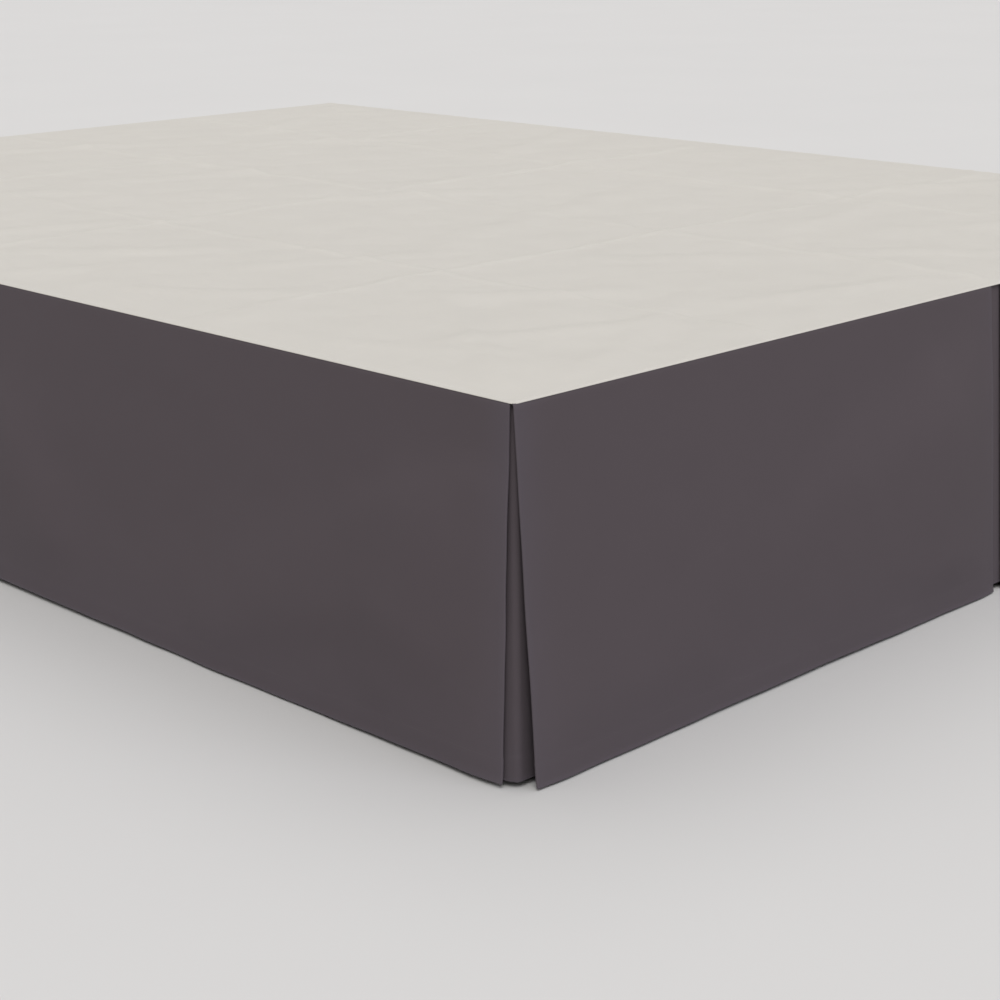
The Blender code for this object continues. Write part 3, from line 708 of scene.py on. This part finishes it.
# Loose wrinkles: from x, y to x, y, half width, height.
WRINKLES = (
    (-0.74, -0.97, -0.50, -0.64, 0.014, 0.0049), (-0.66, -0.98, -0.30, -0.80, 0.019, 0.0038),
    (-0.75, -0.86, -0.61, -0.78, 0.011, 0.0027), (-0.57, -0.99, -0.49, -0.90, 0.010, 0.0026),
    (-0.74, -0.55, -0.52, -0.47, 0.015, 0.0032), (-0.20, -0.99, -0.09, -0.83, 0.013, 0.0031),
    (0.73, -0.98, 0.52, -0.70, 0.014, 0.0046), (0.64, -0.96, 0.22, -0.71, 0.021, 0.0035),
    (0.75, -0.60, 0.55, -0.52, 0.013, 0.0030), (0.30, -0.99, 0.36, -0.88, 0.011, 0.0026),
    (-0.73, 0.20, -0.42, 0.06, 0.018, 0.0036), (0.74, 0.34, 0.36, 0.18, 0.020, 0.0039),
    (-0.74, -0.14, -0.60, -0.19, 0.012, 0.0028), (0.75, -0.10, 0.58, -0.02, 0.013, 0.0030),
    (-0.70, 0.92, -0.33, 0.66, 0.018, 0.0042), (0.71, 0.95, 0.31, 0.72, 0.017, 0.0045),
    (-0.20, -0.35, 0.28, -0.22, 0.022, 0.0030), (-0.30, 0.42, 0.16, 0.30, 0.024, 0.0027),
    (-0.55, -0.30, -0.28, -0.42, 0.018, 0.0036), (0.12, -0.62, 0.40, -0.55, 0.017, 0.0036),
    (-0.63, -0.79, -0.41, -0.87, 0.016, 0.0046), (-0.71, -0.70, -0.62, -0.89, 0.013, 0.0040),
    (-0.50, -0.60, -0.33, -0.74, 0.020, 0.0050), (-0.30, -0.86, -0.04, -0.93, 0.015, 0.0044),
    (-0.22, -0.57, -0.04, -0.72, 0.022, 0.0048), (0.03, -0.76, 0.20, -0.93, 0.016, 0.0046),
    (-0.69, -0.34, -0.57, -0.50, 0.017, 0.0042), (0.41, -0.78, 0.62, -0.88, 0.017, 0.0044),
    (-0.66, -0.02, -0.46, -0.20, 0.020, 0.0046), (0.36, -0.44, 0.62, -0.56, 0.021, 0.0044),
    (-0.10, 0.02, 0.14, -0.12, 0.024, 0.0042), (-0.52, 0.50, -0.30, 0.34, 0.022, 0.0046),
    (0.22, 0.62, 0.48, 0.44, 0.023, 0.0046), (-0.16, 0.86, 0.10, 0.74, 0.020, 0.0040),
)
WRINKLE_BOW = 0.012              # how far a wrinkle bends at its middle
# The cloth's own slackness and the seam's puckers: seed, height, wavelength.
DECK_SLACK = ((5, 0.0011, 0.16), (6, 0.00050, 0.06))
DECK_PUCKER = (8, 0.00060, 0.015)
DECK_PUCKER_FADE = 0.012         # in from the seam
TAUT_BAND = 0.05                 # round the edge, in which the rest grows


def grid_lines(start, end, creases):
    """Places for the grid's lines, closer together beside a crease."""
    places = list(np.linspace(start, end, round((end - start) / DECK_STEP) + 1))
    for at, half_width, _ in creases:
        places = [place for place in places if abs(place - at) > half_width * 1.6]
        places += [at + half_width * part for part in CREASE_LINES]
    return np.array(sorted(places))


def deck_edge(places, low, high):
    """The lines with the rolled edge added at the ends that are sewn, and how far each drops."""
    angles = np.radians(ROLL_ANGLES)
    out, fall = EDGE_ROLL * np.sin(angles), EDGE_ROLL * (1 - np.cos(angles))
    drops = np.zeros(len(places))
    if low:
        places = np.concatenate((places[0] - out[::-1], places))
        drops = np.concatenate((fall[::-1], drops))
    if high:
        places = np.concatenate((places, places[-1] + out))
        drops = np.concatenate((drops, fall))
    return places, drops


def deck_grid():
    """The grid's lines across and along the bed, each with how far they drop at the edges."""
    half_width, sewn = DECK_WIDTH / 2, np.array(SEWN_LINES)
    xs = np.concatenate((
        -half_width + EDGE_ROLL + sewn,
        grid_lines(-half_width + SEWN_BAND, half_width - SEWN_BAND, FOLDS_X),
        half_width - EDGE_ROLL - sewn[::-1]))
    ys = np.concatenate((
        FOOT_Y + EDGE_ROLL + sewn,
        grid_lines(FOOT_Y + SEWN_BAND, HEAD_Y - HEAD_BAND, FOLDS_Y),
        HEAD_Y + DECK_PAST_HEAD - np.array(HEAD_LINES)))
    return deck_edge(xs, True, True), deck_edge(ys, True, False)


def crease(distance, half_width, height):
    """A pressed crease that stands up, sharper at its top than a swell."""
    return height * np.exp(-np.abs(distance) / half_width * 1.3) * (1 - 0.2 * bell(distance, 0.001))


def deck_lift(x, y, sewn, to_head):
    """How far the cloth stands up, from its distances to the sewn edges and to the head end."""
    lift = np.zeros_like(x)
    for at, width, height in FOLDS_X:
        lift += crease(x - at, width, height) * (0.75 + 0.25 * np.sin(y * 5 + at * 9))
    for at, width, height in FOLDS_Y:
        lift += crease(y - at, width, height) * (0.75 + 0.25 * np.sin(x * 6 + at * 7))
    for x0, y0, x1, y1, width, height in WRINKLES:
        run = np.array((x1 - x0, y1 - y0))
        share = np.clip(((x - x0) * run[0] + (y - y0) * run[1]) / (run @ run), 0, 1)
        bow = WRINKLE_BOW * np.sin(share * math.pi)
        away = np.hypot(x - x0 - run[0] * share, y - y0 - run[1] * share + bow)
        lift += height * bell(away, width) * np.sin(np.pi * (0.12 + 0.76 * share))
    lift += sum(height * (1 + ripples(x, y, seed, wavelength))
                for seed, height, wavelength in DECK_SLACK)
    loose = np.clip(np.minimum(sewn, to_head) / TAUT_BAND, 0, 1)
    loose = loose * loose * (3 - 2 * loose)
    lift = np.maximum(lift, 0) * loose
    seed, height, wavelength = DECK_PUCKER
    gathered = np.exp(-np.maximum(sewn, 0) / DECK_PUCKER_FADE) * np.clip(sewn / PUCKER_START, 0, 1)
    return lift + height * gathered * (1 + ripples(x, y, seed, wavelength))


def round_foot_corners(middle):
    """Draws in the grid's points that lie outside the round of a foot corner."""
    x, y = middle[..., 0].copy(), middle[..., 1].copy()
    straight_x, straight_y = DECK_WIDTH / 2 - DECK_CORNER, FOOT_Y + DECK_CORNER
    for sign in (-1, 1):
        inset_x, inset_y = sign * x - straight_x, straight_y - y
        corner = (inset_x > 0) & (inset_y > 0)
        reach = np.maximum(inset_x, inset_y) / np.maximum(np.hypot(inset_x, inset_y), 1e-9)
        round_x, round_y = sign * (straight_x + inset_x * reach), straight_y - inset_y * reach
        middle[..., 0] = np.where(corner, round_x, middle[..., 0])
        middle[..., 1] = np.where(corner, round_y, middle[..., 1])


def stitch_deck(xs, ys, front, normal, thread):
    """One row of stitches round the sewn edges, and one along the head end's hem."""
    column = int(np.abs(xs + DECK_WIDTH / 2 - EDGE_STITCH).argmin())
    other = len(xs) - 1 - column
    row = int(np.abs(ys - FOOT_Y - EDGE_STITCH).argmin())
    head = int(np.abs(ys - HEAD_Y + HEAD_STITCH).argmin())

    def round_edge(grid):
        return np.concatenate((grid[row:, column][::-1], grid[row, column:other],
                               grid[row:, other]))

    return [stitch_line("deck_stitches_edge", round_edge(front), round_edge(normal), thread),
            stitch_line("deck_stitches_head", front[head, 3:-3], normal[head, 3:-3], thread)]


def build_deck(stuff, thread):
    (xs, drop_x), (ys, drop_y) = deck_grid()
    x, y = np.meshgrid(xs, ys)
    fall = np.maximum(*np.meshgrid(drop_x, drop_y))
    sewn, to_head = np.minimum(DECK_WIDTH / 2 - np.abs(x), y - FOOT_Y), HEAD_Y - y
    middle = np.stack((x, y, DECK_Z - fall + deck_lift(x, y, sewn, to_head)), -1)
    round_foot_corners(middle)
    doubled = np.clip((DECK_HEM - to_head) / HEM_STEP, 0, 1)
    half = DECK_HALF * (1 + DECK_HEM_THICKER * doubled) * edge_round(to_head + DECK_PAST_HEAD)
    outward = ((len(ys) // 2, len(xs) // 2), (0, 0, 1))
    piece, front, normal = thin_sheet("deck_cloth", middle, half, x, y, np.zeros_like(x), outward,
                                      stuff)
    return piece, stitch_deck(xs, ys, front, normal, thread)


# The foundation.

TICKING, TAPE, DUST_COVER = range(3)             # the cover's materials
# Out over its top or underside and round the rim: how far in from the side, how far from the face.
FACE_LEVELS = ((0.120, 0.0), (0.040, 0.0), (0.008, 0.0), (0.0035, 0.0008), (0.0012, 0.0030))
DUST_COVER_INSET = 0.005         # from the side to the dust cover on its underside
# Across the tape that is sewn along each rim: how far on, how far out from the side.
TAPE_LEVELS = ((0.0, -0.0004), (0.0012, 0.0003), (0.0028, 0.0010), (0.0046, 0.0012),
               (0.0064, 0.0010), (0.0080, 0.0003), (0.0092, -0.0005))
TAPE_START = 0.0055              # from the top or the underside
SIDE_START = 0.0160              # the same, for the plain side between the tapes
SIDE_LEVELS = 15
SIDE_OUT = (0.0004, 0.0010)      # at the tapes, and what is added half way
# How uneven its cloth is beside the tapes and all over: seed, height, wavelength.
BASE_PUCKER = (3, 0.00025, 0.02)
BASE_SLACK = (4, 0.0004, 0.22)
BASE_PUCKER_FADE = 0.018         # from the tapes
BASE_UNEVEN_LIMIT = 0.0004       # the furthest out that the two bring it
PUCKERED_OUT = -0.002            # a level that is further out than this is puckered
SLACK_OUT = -0.001               # and slack too, further out than this
RING_STEP = 0.014
CORNER_STEPS = 8


def base_outline():
    """Points round the foundation, the ways out from them, and how far along each is."""
    half_x, half_y, radius = BASE_WIDTH / 2, BASE_LENGTH / 2, BASE_CORNER
    points = []
    for quarter, (sign_x, sign_y) in enumerate(((1, 1), (-1, 1), (-1, -1), (1, -1))):
        centre = np.array((sign_x * (half_x - radius), MIDDLE_Y + sign_y * (half_y - radius)))
        for step in range(CORNER_STEPS + 1):
            angle = math.pi / 2 * (quarter + step / CORNER_STEPS)
            way = np.array((math.cos(angle), math.sin(angle)))
            points.append((centre + way * radius, way))
    ring = []
    for (here, way), (there, next_way) in zip(points, points[1:] + points[:1]):
        steps = max(1, math.ceil(float(np.linalg.norm(there - here)) / RING_STEP))
        ring += [(here + (there - here) * step / steps, unit(way + (next_way - way) * step / steps))
                 for step in range(steps)]
    places = np.array([place for place, _ in ring])
    ways = np.array([way for _, way in ring])
    run = np.linalg.norm(np.roll(places, -1, 0) - places, axis=1)
    return places, ways, np.concatenate(((0.0,), np.cumsum(run)[:-1]))


def base_levels():
    """From the underside to the top: height, how far out, and the material above."""
    levels = []
    for inset, rise in FACE_LEVELS:
        levels.append((BASE_BOTTOM + rise, -inset,
                       DUST_COVER if inset > DUST_COVER_INSET else TICKING))
    for rise, out in TAPE_LEVELS:
        levels.append((BASE_BOTTOM + TAPE_START + rise, out, TAPE))
    side_low, side_high = BASE_BOTTOM + SIDE_START, BASE_TOP - SIDE_START
    for share in np.linspace(0, 1, SIDE_LEVELS):
        levels.append((side_low + (side_high - side_low) * share,
                       SIDE_OUT[0] + SIDE_OUT[1] * math.sin(math.pi * share), TICKING))
    for rise, out in TAPE_LEVELS[::-1]:
        levels.append((BASE_TOP - TAPE_START - rise, out, TAPE))
    for inset, rise in FACE_LEVELS[::-1]:
        levels.append((BASE_TOP - rise, -inset, TICKING))
    return levels


def base_ring(places, ways, along, z, out):
    """The foundation's outline at one level, with its cloth's unevenness."""
    uneven = np.zeros_like(along)
    if out > PUCKERED_OUT:
        seed, height, wavelength = BASE_PUCKER
        from_tape = min(abs(z - BASE_TOP + SIDE_START), abs(z - BASE_BOTTOM - SIDE_START))
        fade = math.exp(-from_tape / BASE_PUCKER_FADE)
        uneven += height * fade * ripples(along, 0, seed, wavelength, skew=0.5)
    if out > SLACK_OUT:
        seed, height, wavelength = BASE_SLACK
        uneven += height * ripples(along, z * 0.4, seed, wavelength, skew=0.4)
    ring = places + ways * (out + np.minimum(uneven, BASE_UNEVEN_LIMIT))[:, None]
    return np.concatenate((ring, np.full((len(ring), 1), z)), 1)


def build_foundation(ticking, tape, dust_cover):
    places, ways, along = base_outline()
    levels = base_levels()
    points = np.concatenate([base_ring(places, ways, along, z, out) for z, out, _ in levels])
    count = len(places)
    faces, kinds = [], []
    for level, (_, _, kind) in enumerate(levels[:-1]):
        for spot in range(count):
            after = (spot + 1) % count
            faces.append((level * count + spot, level * count + after,
                          (level + 1) * count + after, (level + 1) * count + spot))
            kinds.append(kind)
    faces.append(tuple(range(count))[::-1])
    kinds.append(DUST_COVER)
    faces.append(tuple(range((len(levels) - 1) * count, len(levels) * count)))
    kinds.append(TICKING)
    piece = add_mesh("foundation_cover", points, faces, ticking, tape, dust_cover)
    piece.data.polygons.foreach_set("material_index", np.array(kinds, np.int32))
    rises = [math.dist(low[:2], high[:2]) for low, high in zip(levels, levels[1:])]
    up = np.repeat(np.cumsum([0.0] + rises), count)
    set_cloth_data(piece, np.tile(along, len(levels)), up, np.zeros(len(points)))
    return piece


# Camera, light and floor.

CAMERA_AT = (-2.00767, -2.24630, 0.79621)
CAMERA_LENS = 75.6               # mm, on a sensor 36 mm wide
CAMERA_PITCH, CAMERA_YAW, CAMERA_ROLL = 0.28917, 0.77989, -0.00761       # radians
FLOOR_HALF = 30.0
FLOOR_COLOUR = (0.62, 0.615, 0.61)
STUDIO_COLOUR = (1.0, 0.985, 0.97, 1)
STUDIO_STRENGTH = 0.57
# The lights: the way to each from +X to +Y and up, its spread, its strength and its colour.
LIGHTS = {
    "front_light": (225, 50, 30, 1.55, (1.0, 0.99, 0.98)),
    "right_light": (285, 42, 35, 0.36, (0.82, 0.85, 1.0)),
    "back_light": (50, 62, 40, 0.45, (1.0, 0.99, 0.98)),
}


def build_camera():
    data = bpy.data.cameras.new("camera")
    data.sensor_width = 36.0
    data.lens = CAMERA_LENS
    data.clip_end = 100.0
    camera = bpy.data.objects.new("camera", data)
    bpy.context.scene.collection.objects.link(camera)
    turn = (Matrix.Rotation(-CAMERA_YAW, 4, "Z")
            @ Matrix.Rotation(math.pi / 2 - CAMERA_PITCH, 4, "X")
            @ Matrix.Rotation(CAMERA_ROLL, 4, "Z"))
    camera.matrix_world = Matrix.Translation(CAMERA_AT) @ turn
    bpy.context.scene.camera = camera


def soft_sun(name, azimuth, elevation, spread, strength, colour):
    """Light as from a large soft box far off, with its angles in degrees."""
    data = bpy.data.lights.new(name, "SUN")
    data.angle = math.radians(spread)
    data.energy = strength
    data.color = colour
    light = bpy.data.objects.new(name, data)
    level = math.cos(math.radians(elevation))
    way = Vector((level * math.cos(math.radians(azimuth)), level * math.sin(math.radians(azimuth)),
                  math.sin(math.radians(elevation))))
    light.rotation_euler = way.to_track_quat("Z", "Y").to_euler()
    bpy.context.scene.collection.objects.link(light)


def build_stage():
    floor_stuff, tree, shader = new_material("floor_paint")
    place = add_node(tree, "TexCoord").outputs["Object"]
    shade = calculate(tree, "MULTIPLY", noise(tree, place, 1.5), 0.01)
    tree.links.new(tinted(tree, FLOOR_COLOUR, shade), shader.inputs["Base Color"])
    shader.inputs["Roughness"].default_value = 0.7
    corners = [(x * FLOOR_HALF, y * FLOOR_HALF, 0) for x, y in ((-1, -1), (1, -1), (1, 1), (-1, 1))]
    floor = add_mesh("floor", corners, [(0, 1, 2, 3)], floor_stuff)
    world = bpy.data.worlds.new("studio")
    world.use_nodes = True
    world.node_tree.nodes["Background"].inputs["Color"].default_value = STUDIO_COLOUR
    world.node_tree.nodes["Background"].inputs["Strength"].default_value = STUDIO_STRENGTH
    bpy.context.scene.world = world
    for name, settings in LIGHTS.items():
        soft_sun(name, *settings)
    bpy.context.scene.view_settings.view_transform = "Standard"


# The pieces, each over its own solid.

def facing(side):
    """The way out from a side of the bed."""
    return (*SIDES[side][2], 0)


def hang_drops(stuffs):
    corners = {"left": side_path("left"), "foot": foot_path(), "right": side_path("right")}
    row = int(np.abs(DOWN - HEM_STITCH).argmin())
    for side, path in corners.items():
        piece, front, normal = hanging_cloth(f"drop_cloth_{side}", placed(side, path),
                                             stuffs["skirt_poplin_woven"], facing(side),
                                             end_hem=side != "foot")
        stitches = stitch_line(f"hem_stitches_{side}", front[row], normal[row],
                               stuffs["skirt_thread"])
        for made in (piece, stitches):
            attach(made, "root")
        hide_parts(f"drop_{side}")


def hang_underlays(stuffs):
    for side in ("left", "right"):
        # The underlay's darker cloth is painted shade.
        piece, _, _ = hanging_cloth(f"underlay_cloth_{side}", underlay_path(side),
                                    stuffs["underlay_woven_painted_shade"], facing(side))
        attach(piece, "root")
        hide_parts(f"underlay_{side}")


def lay_deck(stuffs):
    deck, stitches = build_deck(stuffs["platform_woven"], stuffs["platform_thread"])
    for made in (deck, *stitches):
        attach(made, "root")
    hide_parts("deck")


def dress_base(stuffs):
    foundation = build_foundation(stuffs["ticking_woven"], stuffs["ticking_tape"],
                                  stuffs["dust_cover"])
    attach(foundation, "root")
    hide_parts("foundation")
    for name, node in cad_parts.items():
        stuff = stuffs["glide_moulding" if name.startswith("glide") else "steel_paint"]
        if name.startswith(("rail", "cross_bar", "leg", "glide")):
            for slot in node.material_slots:
                slot.material = stuff


def main():
    build_camera()
    build_stage()
    stuffs = {name: cloth_material(name, *values) for name, values in CLOTHS.items()}
    stuffs |= {name: hard_material(name, *values) for name, values in HARD.items()}
    hang_drops(stuffs)
    hang_underlays(stuffs)
    lay_deck(stuffs)
    dress_base(stuffs)


main()
